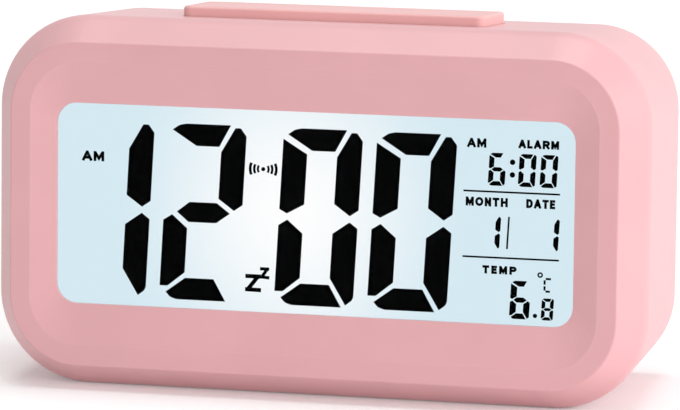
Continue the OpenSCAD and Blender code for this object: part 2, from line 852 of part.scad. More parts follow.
module display_frame() color(white) standing() difference() {
    union() {
        block([-frame_w / 2, bezel_inner_y, frame_low], [frame_w / 2, frame_back_y, frame_top]);
        at_frame_posts() rod_y(0, 0, frame_plate_y, frame_back_y, frame_post_r);
        for (sx = [-1, 1], sz = [-1, 1])
            translate([sx * frame_w / 2, 0, mid_z + sz * frame_post_z])
                block([-frame_post_r, frame_plate_y, -frame_post_r],
                    [frame_post_r, frame_back_y, frame_post_r]);
        at_board_screws() rod_y(0, 0, frame_back_y - eps, board_y, standoff_r);
    }
    block([-glass_w / 2 - seat_gap, bezel_inner_y - over, frame_low + frame_wall],
        [glass_w / 2 + seat_gap, frame_plate_y, frame_top - frame_wall]);
    block([-zebra_w / 2 - seat_gap, 0, zebra_z - zebra_t / 2 - seat_gap],
        [zebra_w / 2 + seat_gap, far, zebra_z + zebra_t / 2 + seat_gap]);
    at_frame_posts() rod_y(0, 0, frame_plate_y - over, far, small_hole_r);
    at_board_screws() rod_y(0, 0, board_y - pilot_l, far, small_pilot_r);
}

module display_screws() color(steel) standing() at_frame_posts() translate([0, frame_back_y, 0])
    small_screw(frame_plate_t);

module main_board() color(board_green) standing() difference() {
    block([-board_half_w, board_y, board_low], [board_half_w, board_back_y, board_top]);
    at_board_screws() rod_y(0, 0, board_y - over, board_back_y + over, small_hole_r);
}

module board_screws() color(steel) standing() at_board_screws() translate([0, board_back_y, 0])
    small_screw(board_t);

// Resin dome over the bare clock chip
chip_dome_r = 7;
chip_dome_h = 2.4;
module clock_chip() color(black) standing() translate([0, board_back_y, mid_z]) rotate([-90, 0, 0]) {
    ball = (chip_dome_r * chip_dome_r + chip_dome_h * chip_dome_h) / (2 * chip_dome_h);
    intersection() {
        translate([0, 0, chip_dome_h - ball]) sphere(r = ball);
        cylinder(r = chip_dome_r + over, h = chip_dome_h + over);
    }
}

crystal_r = 1.05;
crystal_l = 6.2;
crystal_x = 16;
crystal_rise = 6;
crystal_leg_r = 0.2;
crystal_leg_l = 1.4;
crystal_leg_z = 0.4;
module clock_crystal() color(steel) standing()
    translate([crystal_x, board_back_y + crystal_r, mid_z + crystal_rise]) {
        rotate([0, 90, 0]) cylinder(r = crystal_r, h = crystal_l);
        for (z = [-crystal_leg_z, crystal_leg_z])
            wire([
                [crystal_leg_r, 0, z], [-crystal_leg_l, 0, z], [-crystal_leg_l, -crystal_r, z]
            ], crystal_leg_r);
    }

// Capacitors beside the flat cable, each a can with a crimp round its foot
capacitor_r = 2.6;
capacitor_h = 7;
capacitor_gap = 1;
capacitor_pitch = 9;
capacitor_rise = 8;
capacitor_edge = 0.4;
crimp_low = 1;
crimp_h = 0.8;
crimp_depth = 0.2;
capacitor_x = cable_x - cable_w / 2 - capacitor_gap - capacitor_r;
module capacitors() color([0.15, 0.2, 0.42]) standing() for (i = [0, 1])
    translate([capacitor_x - i * capacitor_pitch, board_back_y, mid_z + capacitor_rise]) rotate([-90, 0, 0])
        rotate_extrude() polygon([
            [0, 0], [capacitor_r, 0], [capacitor_r, crimp_low],
            [capacitor_r - crimp_depth, crimp_low + crimp_h / 2],
            [capacitor_r, crimp_low + crimp_h], [capacitor_r, capacitor_h - capacitor_edge],
            [capacitor_r - capacitor_edge, capacitor_h], [0, capacitor_h]
        ]);

bead_r = 1.4;
bead_out = 5;
bead_side = 10;
bead_rise = 4;
bead_leg_r = 0.25;
bead_leg_x = 1.2;
bead_leg_y = 2.6;
bead_root_x = 0.5;
bead_root_y = 4.4;
module thermistor() color(black) standing()
    translate([board_half_w - bead_side, board_back_y, board_low + bead_rise]) {
        translate([0, bead_out, 0]) sphere(r = bead_r);
        for (sx = [-1, 1]) wire([
            [sx * bead_leg_x, 0, 0], [sx * bead_leg_x, bead_leg_y, 0], [sx * bead_root_x, bead_root_y, 0]
        ], bead_leg_r);
    }

// Snooze bar: skirted cap with a foot over its switch and a barb at each end
module bar_section(r, low, high, edge) {
    polygon([[0, low], [r, low], [r, high - edge], [r - edge, high], [0, high]]);
    translate([r - edge, high - edge]) circle(r = edge);
}

module snooze_bar() color(pink) standing() bar_frame() {
    cx = bar_w / 2 - bar_r;
    cy = bar_depth / 2 - bar_r;
    difference() {
        rounded_form(cx, cy, -bar_skirt, bar_rise) bar_section(bar_r, -bar_skirt, bar_rise, bar_edge_r);
        hollow = bar_skin + bar_inner_r;
        rounded_form(bar_w / 2 - hollow, bar_depth / 2 - hollow, -bar_skirt - over, bar_rise - bar_skin)
            translate([0, -bar_skirt - over])
                square([bar_inner_r, bar_skirt + over + bar_rise - bar_skin]);
    }
    translate([0, 0, snooze_bar_foot])
        cylinder(r = bar_foot_r, h = bar_rise - bar_skin / 2 - snooze_bar_foot);
    for (sx = [-1, 1]) {
        translate([sx * bar_rib_x, 0, 0])
            block([-bar_rib_t / 2, bar_skin / 2 - bar_depth / 2, -bar_rib_drop],
                [bar_rib_t / 2, bar_depth / 2 - bar_skin / 2, bar_rise - bar_skin / 2]);
        inner = bar_w / 2 - bar_skin / 2;
        outer = bar_w / 2 + bar_barb_l;
        block([min(sx * inner, sx * outer), -bar_barb_w / 2, -bar_skirt],
            [max(sx * inner, sx * outer), bar_barb_w / 2, -wall - bar_slope_rise - bar_barb_gap]);
    }
}

module snooze_board() color(board_green) standing() bar_frame() difference() {
    half = snooze_post_x + snooze_post_r;
    block([-half, -snooze_board_depth / 2, snooze_board_top - board_t],
        [half, snooze_board_depth / 2, snooze_board_top]);
    for (sx = [-1, 1]) translate([sx * snooze_post_x, 0, snooze_board_top - board_t - over])
        cylinder(r = small_hole_r, h = board_t + 2 * over);
}

module snooze_board_screws() color(steel) standing() bar_frame() for (sx = [-1, 1])
    translate([sx * snooze_post_x, 0, snooze_board_top - board_t]) rotate([-90, 0, 0]) small_screw(board_t);

// Body of a tact switch on its board, its plunger bore along Z
module tact_switch(h) {
    difference() {
        block([-switch_size / 2, -switch_size / 2, 0], [switch_size / 2, switch_size / 2, h]);
        translate([0, 0, switch_floor]) cylinder(r = plunger_r + plunger_gap, h = h);
    }
}

module tact_plunger(h, length) {
    translate([0, 0, h - plunger_root]) cylinder(r = plunger_r, h = plunger_root + length);
}

module snooze_switch() color(black) standing() bar_frame() translate([0, 0, snooze_board_top])
    tact_switch(snooze_switch_h);

module snooze_plunger() color(white) standing() bar_frame() translate([0, 0, snooze_board_top])
    tact_plunger(snooze_switch_h, snooze_plunger_l);

// Back keys on their own board, facing the back
module at_key(i) {
    translate([key_x(i), 0, button_z]) children();
}

module key_board() color(board_green) standing() difference() {
    block([-key_board_half_w, key_board_y, button_z - key_board_half_h],
        [key_board_half_w, key_board_back_y, button_z + key_board_half_h]);
    for (sx = [-1, 1])
        rod_y(sx * key_post_x, button_z, key_board_y - over, key_board_back_y + over, small_hole_r);
}

module key_board_screws() color(steel) standing() for (sx = [-1, 1])
    translate([sx * key_post_x, key_board_y, button_z]) rotate([0, 0, 180]) small_screw(board_t);

module key_switches() color(black) standing() for (i = [0:3]) at_key(i)
    translate([0, key_board_back_y, 0]) rotate([-90, 0, 0]) tact_switch(key_switch_h);

module key_plunger(i) color(white) standing() at_key(i)
    translate([0, key_board_back_y, 0]) rotate([-90, 0, 0]) tact_plunger(key_switch_h, key_plunger_l);

// Button with a flange inside the case and a dished cap
module key_button(i) color(pink) standing() at_key(i) translate([0, flange_y, 0]) rotate([-90, 0, 0]) {
    top = case_depth + button_proud - flange_y;
    r = button_d / 2;
    rotate_extrude() polygon([
        [0, 0], [flange_r, 0], [flange_r, flange_t], [r, flange_t], [r, top - button_edge],
        [r - button_edge, top], [r - 2 * button_edge, top], [0, top - button_edge / 2]
    ]);
}

module mode_plunger() key_plunger(0);
module set_plunger() key_plunger(1);
module up_plunger() key_plunger(2);
module down_plunger() key_plunger(3);
module mode_button() key_button(0);
module set_button() key_button(1);
module up_button() key_button(2);
module down_button() key_button(3);

// Alarm slide switch, stored at its off end
lever_root = 1.2;
lever_x = switch_x - switch_travel / 2;
module alarm_switch() color(steel) standing()
    translate([switch_x, key_board_back_y, button_z]) difference() {
    block([-switch_body_w / 2, 0, -switch_body_t / 2],
        [switch_body_w / 2, switch_body_h, switch_body_t / 2]);
    half = (switch_travel + lever_w) / 2 + slide_gap;
    block([-half, switch_body_h - lever_root - slide_gap, -lever_t / 2 - lever_gap],
        [half, switch_body_h + over, lever_t / 2 + lever_gap]);
}

knob_y = key_board_back_y + switch_body_h + slide_gap;
module alarm_lever() color(black) standing() block(
    [lever_x - lever_w / 2, key_board_back_y + switch_body_h - lever_root, button_z - lever_t / 2],
    [lever_x + lever_w / 2, knob_y + knob_grip, button_z + lever_t / 2]);

module alarm_knob() color(white) standing() difference() {
    knob_end = case_depth + button_proud;
    block([lever_x - knob_w / 2, knob_y, button_z - knob_h / 2],
        [lever_x + knob_w / 2, knob_end, button_z + knob_h / 2]);
    block([lever_x - lever_w / 2, knob_y - over, button_z - lever_t / 2],
        [lever_x + lever_w / 2, knob_y + knob_grip, button_z + lever_t / 2]);
    for (i = [-1:1]) translate([lever_x + i * groove_pitch, knob_end, button_z])
        block([-groove_w / 2, -groove_depth, -knob_h], [groove_w / 2, over, knob_h]);
}

// Battery door, closed: the tabs hook under the case below it, the finger latch is at its top
module battery_door() color(pink) standing() difference() {
    door_y = case_depth - door_t;
    union() {
        face_plate(2 * door_half_w, door_low, door_top, door_r, door_y, door_t);
        for (sx = [-1, 1]) {
            block([sx * tab_x - tab_w / 2, ledge_y - tab_t - door_gap, door_low - tab_drop],
                [sx * tab_x + tab_w / 2, ledge_y - door_gap, door_low + tab_t]);
            block([sx * tab_x - tab_w / 2, ledge_y - tab_t - door_gap, door_low],
                [sx * tab_x + tab_w / 2, door_y + eps, door_low + tab_t]);
        }
        block([-latch_w / 2 + latch_slit + latch_side, ledge_y - ledge_t, door_top - latch_lip],
            [latch_w / 2 - latch_slit - latch_side, door_y + eps, door_top]);
    }
    for (sx = [-1, 1]) block(
        [sx * latch_w / 2 - latch_slit / 2, door_y - over, door_top - latch_l],
        [sx * latch_w / 2 + latch_slit / 2, far, door_top + over]);
    for (i = [0:grip_count - 1]) translate([0, case_depth, door_top - grip_drop - grip_pitch * i])
        block([-latch_w / 2 + grip_side, -grip_depth, -grip_w], [latch_w / 2 - grip_side, over, 0]);
}

module case_screws() color(steel) standing() at_bosses() translate([0, screw_seat_y, 0])
    screw(case_screw_d, case_screw_l, screw_head_r, screw_head_t);

module buzzer() color(black) standing()
    translate([buzzer_x, back_inner_y - buzzer_t - buzzer_glue, buzzer_z]) rotate([-90, 0, 0]) difference() {
        cylinder(r = buzzer_d / 2, h = buzzer_t);
        translate([0, 0, buzzer_t - buzzer_recess]) cylinder(r = buzzer_d / 2 - buzzer_lip, h = buzzer_t);
        translate([0, 0, buzzer_floor]) cylinder(r = buzzer_port_r, h = buzzer_t);
    }

// Cells lie in turn, so that they join in series
module cells() color([0.75, 0.6, 0.3]) standing() for (i = [0:2]) {
    sx = i % 2 == 0 ? 1 : -1;
    can_r = cell_d / 2;
    can_l = cell_l - cell_button_l;
    translate([sx * (well_half_x - plate_t - cell_l), cell_y, cell_z(i)]) rotate([0, sx * 90, 0])
        rotate_extrude() polygon([
            [0, 0], [can_r - cell_edge, 0], [can_r, cell_edge], [can_r, can_l - cell_edge],
            [can_r - cell_edge, can_l], [cell_button_r, can_l], [cell_button_r, cell_l], [0, cell_l]
        ]);
}

// Contact plates on the two end walls: a pair bridges two cells, a single one feeds a lead
module contact_plates() color(steel) standing() {
    half = cell_pitch / 2 - plate_inset;
    for (run = [[1, 0, 1], [1, 2, 2], [-1, 0, 0], [-1, 1, 2]]) {
        inner = run[0] * (well_half_x - plate_t);
        outer = run[0] * well_half_x;
        block([min(inner, outer), cell_y - half, cell_z(run[1]) - half],
            [max(inner, outer), cell_y + half, cell_z(run[2]) + half]);
    }
}

// Contact spring: one unbroken tube wound along a helix
spring_rise = spring_l - spring_wire;
spring_steps = spring_turns * spring_rings;
function spring_point(k) = [
    spring_r * cos(360 * k / spring_rings), spring_r * sin(360 * k / spring_rings),
    spring_wire / 2 + spring_rise * k / spring_steps
];
function ring_point(k, j) = let (
    turn = 360 * k / spring_rings,
    around = 360 * j / spring_sides,
    out = spring_wire / 2 * cos(around)
) spring_point(k) + [out * cos(turn), out * sin(turn), spring_wire / 2 * sin(around)];
// Least gap of the wire to itself, between points that lie over half a turn apart
spring_apart = spring_rings / 2 + 1;
spring_self_gap = min([
    for (a = [0:spring_steps - spring_apart], b = [a + spring_apart:spring_steps])
        norm(spring_point(a) - spring_point(b))
]) - spring_wire;
echo(spring_self_gap = spring_self_gap);

module contact_spring() {
    points = [for (k = [0:spring_steps], j = [0:spring_sides - 1]) ring_point(k, j)];
    polyhedron(points, tube_faces(spring_steps + 1, spring_sides));
}

module contact_springs() color(steel) standing() for (i = [0:2]) {
    sx = i % 2 == 0 ? 1 : -1;
    translate([-sx * (well_half_x - plate_t), cell_y, cell_z(i)]) rotate([0, sx * 90, 0]) contact_spring();
}

// Leads from the well's left end to the main board
lead_r = 0.6;
lead_out = 5;
lead_clear = 6;
positive_inset = 6;
negative_inset = 10;
module battery_lead(i, inset) {
    start_x = -well_half_x;
    board_x = inset - board_half_w;
    wire([
        [start_x, cell_y, cell_z(i)], [start_x - lead_out, cell_y, cell_z(i)],
        [board_x, well_floor_y - lead_clear, cell_z(i)], [board_x, board_back_y, cell_z(i)]
    ], lead_r);
}

module positive_lead() color([0.7, 0.08, 0.08]) standing() battery_lead(2, positive_inset);
module negative_lead() color(black) standing() battery_lead(0, negative_inset);

buzzer_lead_z = 3;
buzzer_lead_out = 4;
buzzer_pad_inset = 6;
buzzer_pad_out = 7;
buzzer_pad_z = 2;
module buzzer_leads() color([0.7, 0.08, 0.08]) standing() for (sz = [-1, 1]) wire([
    [buzzer_x, back_inner_y - buzzer_t - buzzer_glue, buzzer_z + buzzer_lead_z * sz],
    [buzzer_x, back_inner_y - buzzer_t - buzzer_lead_out, buzzer_z + buzzer_lead_z * sz],
    [board_half_w - buzzer_pad_inset, board_back_y + buzzer_pad_out, buzzer_z + buzzer_pad_z * sz],
    [board_half_w - buzzer_pad_inset, board_back_y, buzzer_z + buzzer_pad_z * sz]
], lead_r);

// Leads from the snooze board down to the main board, beside the flat cable
lead_gap = 1;
snooze_lead_half = 1.5;
snooze_lead_drop = 4;
snooze_pad_out = 4;
snooze_pad_drop = 5;
snooze_lead_x = cable_x + cable_w / 2 + lead_gap + lead_r + snooze_lead_half;
snooze_lead_end = body_h - bar_mid_y * taper + snooze_board_top - board_t;
module snooze_leads() color(white) standing() for (sx = [-1, 1]) {
    x = snooze_lead_x + snooze_lead_half * sx;
    pad_z = board_top - snooze_pad_drop;
    wire([
        [x, bar_mid_y, snooze_lead_end], [x, bar_mid_y, snooze_lead_end - snooze_lead_drop],
        [x, board_back_y + snooze_pad_out, pad_z], [x, board_back_y, pad_z]
    ], lead_r);
}

// Flat cable between the key board and the main board
cable_bend = 6;
cable_pad_drop = 7.25;
module key_cable() color([0.75, 0.75, 0.72]) standing() {
    y0 = board_back_y;
    y1 = key_board_y;
    z0 = board_top - cable_pad_drop;
    z1 = button_z;
    translate([cable_x + cable_w / 2, 0, 0]) rotate([0, -90, 0]) linear_extrude(cable_w) polygon([
        [z0, y0], [z0, y0 + cable_bend], [z1, y1 - cable_bend], [z1, y1],
        [z1 + cable_t, y1], [z1 + cable_t, y1 - cable_bend],
        [z0 + cable_t, y0 + cable_bend], [z0 + cable_t, y0]
    ]);
}

front_bezel();
rear_housing();
window_lens();
battery_door();
case_screws();
snooze_bar();
front_polarizer();
front_glass();
display_segments();
display_seal();
rear_glass();
rear_polarizer();
diffuser_film();
light_guide();
reflector_film();
backlight_board();
backlight_lamps();
zebra_strip();
display_frame();
display_screws();
main_board();
board_screws();
clock_chip();
clock_crystal();
capacitors();
thermistor();
snooze_board();
snooze_board_screws();
snooze_switch();
snooze_plunger();
key_board();
key_board_screws();
key_switches();
mode_plunger();
set_plunger();
up_plunger();
down_plunger();
mode_button();
set_button();
up_button();
down_button();
alarm_switch();
alarm_lever();
alarm_knob();
buzzer();
cells();
contact_plates();
contact_springs();
positive_lead();
negative_lead();
buzzer_leads();
snooze_leads();
key_cable();
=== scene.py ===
"""Looks of a leaning digital clock: finishes, lit display, captions, studio and camera."""

import json
import math

import bmesh
import bpy
from mathutils import Matrix, Vector


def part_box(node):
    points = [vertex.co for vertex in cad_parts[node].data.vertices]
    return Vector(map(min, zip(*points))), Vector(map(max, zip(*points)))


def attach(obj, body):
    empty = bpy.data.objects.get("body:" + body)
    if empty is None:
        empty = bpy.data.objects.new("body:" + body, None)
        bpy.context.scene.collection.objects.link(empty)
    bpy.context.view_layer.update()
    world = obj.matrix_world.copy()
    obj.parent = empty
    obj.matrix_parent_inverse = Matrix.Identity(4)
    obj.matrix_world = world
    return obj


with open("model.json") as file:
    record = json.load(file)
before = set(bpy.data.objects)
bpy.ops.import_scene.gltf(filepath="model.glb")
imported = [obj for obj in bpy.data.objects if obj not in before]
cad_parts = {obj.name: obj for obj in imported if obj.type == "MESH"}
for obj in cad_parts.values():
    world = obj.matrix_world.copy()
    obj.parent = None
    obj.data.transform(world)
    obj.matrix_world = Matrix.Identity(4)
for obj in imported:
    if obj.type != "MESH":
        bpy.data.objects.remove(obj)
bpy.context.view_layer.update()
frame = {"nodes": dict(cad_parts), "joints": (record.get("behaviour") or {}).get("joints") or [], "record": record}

MM = 0.001


# Directions on the leaning front, and places of CAD nodes

def key_direction():
    """Direction in which a back key is pressed, which is straight out of the front."""
    axis = next(joint["axis"] for joint in frame["joints"] if joint["name"] == "mode_press")
    return Vector(axis).normalized()


FACE_OUT = key_direction()
FACE_RIGHT = Vector((1, 0, 0))
FACE_UP = FACE_OUT.cross(FACE_RIGHT)


def centre(node):
    """Middle of a CAD node's box."""
    low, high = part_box(node)
    return (low + high) / 2


# The layer of the display's strokes lies between its two glasses, where the edge seal is
LAYER = centre("display_seal")


# Finishes: each is one Principled shader fed by textures in object coordinates

PINK = (0.74, 0.39, 0.41)
BAR_PINK = (0.82, 0.45, 0.44)
KEY_PINK = (0.76, 0.39, 0.41)
INK = (0.002, 0.002, 0.0025)
PLASTIC_IOR = 1.5
ACRYLIC_IOR = 1.49
# Noise values between which a mottled colour changes
MOTTLE_LOW = 0.3
MOTTLE_HIGH = 0.7
# Radians by which a wave texture of scale 1 turns in each metre
WAVE_TURN = 20


def tone(colour, factor=1.0):
    """Colour with alpha, made that many times lighter."""
    return tuple(min(1, part * factor) for part in colour) + (1,)


class Finish:
    """A material with one Principled shader, and short calls for the nodes that feed it."""

    def __init__(self, name):
        self.material = bpy.data.materials.new(name)
        self.material.use_nodes = True
        self.tree = self.material.node_tree
        self.shader = self.tree.nodes["Principled BSDF"]
        self.place = self.add("ShaderNodeTexCoord").outputs["Object"]

    def add(self, kind, **settings):
        """Adds a node and sets its own settings."""
        made = self.tree.nodes.new(kind)
        for key, value in settings.items():
            setattr(made, key, value)
        return made

    def fill(self, node, **values):
        """Sets inputs of a node by name, with underscores for spaces."""
        for key, value in values.items():
            node.inputs[key.replace("_", " ")].default_value = value

    def set(self, **values):
        """Sets inputs of the shader."""
        self.fill(self.shader, **values)

    def link(self, source, target):
        self.tree.links.new(source, target)

    def feed(self, target, source):
        """Links a node's output to an input of the shader."""
        self.link(source, self.shader.inputs[target])

    def mapped(self, scale=(1, 1, 1), shift=(0, 0, 0), turn=(0, 0, 0)):
        """Object coordinates, scaled, turned and shifted."""
        mapping = self.add("ShaderNodeMapping")
        self.fill(mapping, Scale=scale, Location=shift, Rotation=turn)
        self.link(self.place, mapping.inputs["Vector"])
        return mapping.outputs["Vector"]

    def noise(self, grain, detail=3, place=None):
        """Noise whose grains are about that many metres across."""
        made = self.add("ShaderNodeTexNoise")
        self.fill(made, Scale=1 / grain, Detail=detail)
        self.link(place or self.place, made.inputs["Vector"])
        return made.outputs["Fac"]

    def stripes(self, period):
        """Soft stripes across X, one in every period."""
        made = self.add("ShaderNodeTexWave", wave_type="BANDS", bands_direction="X")
        self.fill(made, Scale=2 * math.pi / (WAVE_TURN * period))
        self.link(self.place, made.inputs["Vector"])
        return made.outputs["Fac"]

    def ramp(self, source, stops, ease="LINEAR"):
        """Colour that runs between two stops."""
        made = self.add("ShaderNodeValToRGB")
        made.color_ramp.interpolation = ease
        for element, (position, colour) in zip(made.color_ramp.elements, stops):
            element.position = position
            element.color = colour
        self.link(source, made.inputs["Fac"])
        return made.outputs["Color"]

    def between(self, source, low, high):
        """A value from 0 to 1, carried to a range."""
        made = self.add("ShaderNodeMapRange")
        self.fill(made, To_Min=low, To_Max=high)
        self.link(source, made.inputs["Value"])
        return made.outputs["Result"]

    def mottle(self, colour, swing, grain):
        """Base colour that drifts by a small share from place to place."""
        stops = [(MOTTLE_LOW, tone(colour, 1 - swing)), (MOTTLE_HIGH, tone(colour, 1 + swing))]
        self.feed("Base Color", self.ramp(self.noise(grain, detail=2), stops))

    def gloss(self, middle, swing, grain):
        """Roughness that drifts round its middle value."""
        self.feed("Roughness", self.between(self.noise(grain, detail=2), middle - swing, middle + swing))

    def relief(self, height_map, depth):
        """Fine unevenness of that many metres."""
        made = self.add("ShaderNodeBump")
        self.fill(made, Distance=depth)
        self.link(height_map, made.inputs["Height"])
        self.feed("Normal", made.outputs["Normal"])


def moulded(name, colour, roughness, coat=0.0, swing=0.02, grain=0.4 * MM, depth=0.003 * MM):
    """Moulded plastic: slow drift of colour, fine spark-eroded grain, uneven gloss."""
    finish = Finish(name)
    finish.mottle(colour, swing, grain=16 * MM)
    finish.gloss(roughness, swing=0.04, grain=2 * MM)
    finish.relief(finish.noise(grain, detail=4), depth)
    finish.set(IOR=PLASTIC_IOR, Coat_Weight=coat, Coat_Roughness=0.3)
    return finish.material


def metal(name, colour, roughness):
    """Plated metal: streaks along the drawing direction and slightly dull patches."""
    finish = Finish(name)
    finish.mottle(colour, swing=0.08, grain=3 * MM)
    streaks = finish.noise(grain=0.3 * MM, place=finish.mapped(scale=(1, 8, 1)))
    finish.feed("Roughness", finish.between(streaks, low=roughness - 0.1, high=roughness + 0.12))
    finish.relief(streaks, depth=0.002 * MM)
    finish.set(Metallic=1.0)
    return finish.material


def printed_board(name):
    """Green lacquer over copper runs, which show as paler lanes."""
    finish = Finish(name)
    lanes = finish.add("ShaderNodeTexBrick", offset=0.5)
    finish.fill(
        lanes, Scale=1.0, Brick_Width=7 * MM, Row_Height=2.6 * MM, Mortar_Size=0.32 * MM,
        Color1=(0.012, 0.085, 0.03, 1), Color2=(0.017, 0.105, 0.038, 1), Mortar=(0.05, 0.21, 0.075, 1),
    )
    finish.link(finish.mapped(turn=(math.pi / 2, 0, 0)), lanes.inputs["Vector"])
    finish.feed("Base Color", lanes.outputs["Color"])
    finish.gloss(middle=0.3, swing=0.07, grain=1.2 * MM)
    finish.relief(finish.noise(grain=0.5 * MM), depth=0.005 * MM)
    return finish.material


def clear_sheet(name, tint, cover, roughness):
    """Clear sheet: a trace of haze over what lies behind it."""
    finish = Finish(name)
    finish.mottle(tint, swing=0.1, grain=6 * MM)
    finish.gloss(roughness, swing=0.02, grain=1.5 * MM)
    finish.set(Alpha=cover, IOR=ACRYLIC_IOR)
    return finish.material


def lit_glass(name, middle, reach, edge_light, middle_light, level):
    """Back of the display, lit from behind: pale blue at the ends, white round the middle."""
    finish = Finish(name)
    scale = tuple(1 / part for part in reach)
    shift = tuple(-place * part for place, part in zip(middle, scale))
    glow = finish.add("ShaderNodeTexGradient", gradient_type="SPHERICAL")
    finish.link(finish.mapped(scale, shift), glow.inputs["Vector"])
    light = finish.ramp(glow.outputs["Fac"], [(0, edge_light), (1, middle_light)], "EASE")
    finish.feed("Emission Color", light)
    finish.mottle((0.05, 0.055, 0.06), swing=0.1, grain=0.5 * MM)
    finish.set(Emission_Strength=level, Roughness=0.6, Specular_IOR_Level=0.0)
    return finish.material


def dark_strokes(name):
    """Switched strokes of the display: near black, with the faint grain of the film."""
    finish = Finish(name)
    finish.mottle(INK, swing=0.3, grain=0.6 * MM)
    finish.set(Roughness=0.7, Specular_IOR_Level=0.0)
    return finish.material


def layered_rubber(name, conducting, insulating):
    """Connector strip: dark conducting layers between pink insulating ones."""
    finish = Finish(name)
    stops = [(0.35, tone(conducting)), (0.6, tone(insulating))]
    finish.feed("Base Color", finish.ramp(finish.stripes(period=0.5 * MM), stops))
    finish.gloss(middle=0.6, swing=0.08, grain=0.8 * MM)
    return finish.material


def sleeved_can(name, sleeve, band):
    """Metal can in a plain sleeve with one paler band."""
    finish = Finish(name)
    stops = [(0.72, tone(sleeve)), (0.76, tone(band))]
    finish.feed("Base Color", finish.ramp(finish.stripes(period=60 * MM), stops))
    finish.gloss(middle=0.32, swing=0.06, grain=2 * MM)
    finish.relief(finish.noise(grain=1.2 * MM), depth=0.004 * MM)
    finish.set(Metallic=0.35)
    return finish.material


# Light of the display: where its white middle lies, and how far it reaches
GLOW_MIDDLE = LAYER + FACE_RIGHT * (-5.0 * MM) + FACE_UP * (0.2 * MM)
GLOW_REACH = (39 * MM, 44 * MM, 44 * MM)
GLOW_EDGE_LIGHT = (0.671, 0.823, 0.894, 1)
GLOW_MIDDLE_LIGHT = (1.0, 0.998, 1.0, 1)
GLOW_LEVEL = 1.04

# Finish of each material slot, and of the nodes that have one of their own
FINISHES = {
    "case": moulded("pink_case", PINK, roughness=0.5, coat=0.4),
    "bar": moulded("pink_bar", BAR_PINK, roughness=0.5, coat=0.2),
    "keys": moulded("pink_keys", KEY_PINK, roughness=0.44, coat=0.4),
    "clear": clear_sheet("clear_lens", (0.03, 0.032, 0.034), cover=0.012, roughness=0.1),
    "display_glass": clear_sheet("display_glass", (0.03, 0.035, 0.034), cover=0.006, roughness=0.15),
    "film": clear_sheet("polarizer", (0.02, 0.024, 0.025), cover=0.01, roughness=0.3),
    "ink": dark_strokes("display_ink"),
    "resin": moulded(
        "black_resin", (0.012, 0.012, 0.013), roughness=0.22, swing=0.2, grain=2 * MM, depth=0.02 * MM
    ),
    "board": printed_board("printed_board"),
    "steel": metal("plated_steel", (0.58, 0.59, 0.61), roughness=0.28),
    "white_plastic": moulded("white_plastic", (0.8, 0.8, 0.78), roughness=0.42),
    "black_plastic": moulded("black_plastic", (0.014, 0.014, 0.015), roughness=0.36, swing=0.2),
    "zebra": layered_rubber("layered_rubber", conducting=(0.03, 0.02, 0.02), insulating=(0.62, 0.22, 0.26)),
    "can": sleeved_can("sleeved_can", sleeve=(0.02, 0.05, 0.12), band=(0.5, 0.52, 0.54)),
    "red_wire": moulded("red_insulation", (0.45, 0.015, 0.015), roughness=0.32, swing=0.08),
    "black_wire": moulded("black_insulation", (0.012, 0.012, 0.012), roughness=0.32, swing=0.2),
    "pale_wire": moulded("pale_insulation", (0.55, 0.55, 0.52), roughness=0.34, swing=0.06),
}
OWN_FINISHES = {
    "rear_glass": lit_glass(
        "lit_glass", GLOW_MIDDLE, GLOW_REACH, GLOW_EDGE_LIGHT, GLOW_MIDDLE_LIGHT, GLOW_LEVEL
    ),
    "display_seal": moulded("seal_resin", (0.42, 0.46, 0.48), roughness=0.4, swing=0.05),
    "diffuser_film": moulded("diffuser", (0.86, 0.87, 0.88), roughness=0.6, grain=0.2 * MM),
    "reflector_film": moulded("reflector", (0.88, 0.88, 0.89), roughness=0.22),
    "light_guide": clear_sheet("light_guide", (0.7, 0.75, 0.78), cover=0.2, roughness=0.1),
}


def dress_nodes():
    """Gives each CAD node the finish of its slot, or its own."""
    slots = {part["node"]: part["material_slot"] for part in frame["record"]["subparts"]}
    for node, obj in frame["nodes"].items():
        obj.data.materials.clear()
        obj.data.materials.append(OWN_FINISHES.get(node) or FINISHES[slots[node]])


# Captions and signs of the display, drawn in millimetres from the window's centre

# Half of the gap between the glasses, and how thick a mark stands on the rear one
HALF_GAP = 0.05
MARK_T = 0.07
MARK_BACK = -HALF_GAP
MARK_FRONT = MARK_T - HALF_GAP
CAPTION_STROKE = 0.5
# Ends of a line that lie closer together than this make it a closed one
SAME_PLACE = 1e-6


def arc(x, z, across, up, start, end, steps=10):
    """Points along an oval stretch, angles in degrees."""
    turns = [math.radians(start + (end - start) * step / steps) for step in range(steps + 1)]
    return [(x + across * math.cos(turn), z + up * math.sin(turn)) for turn in turns]


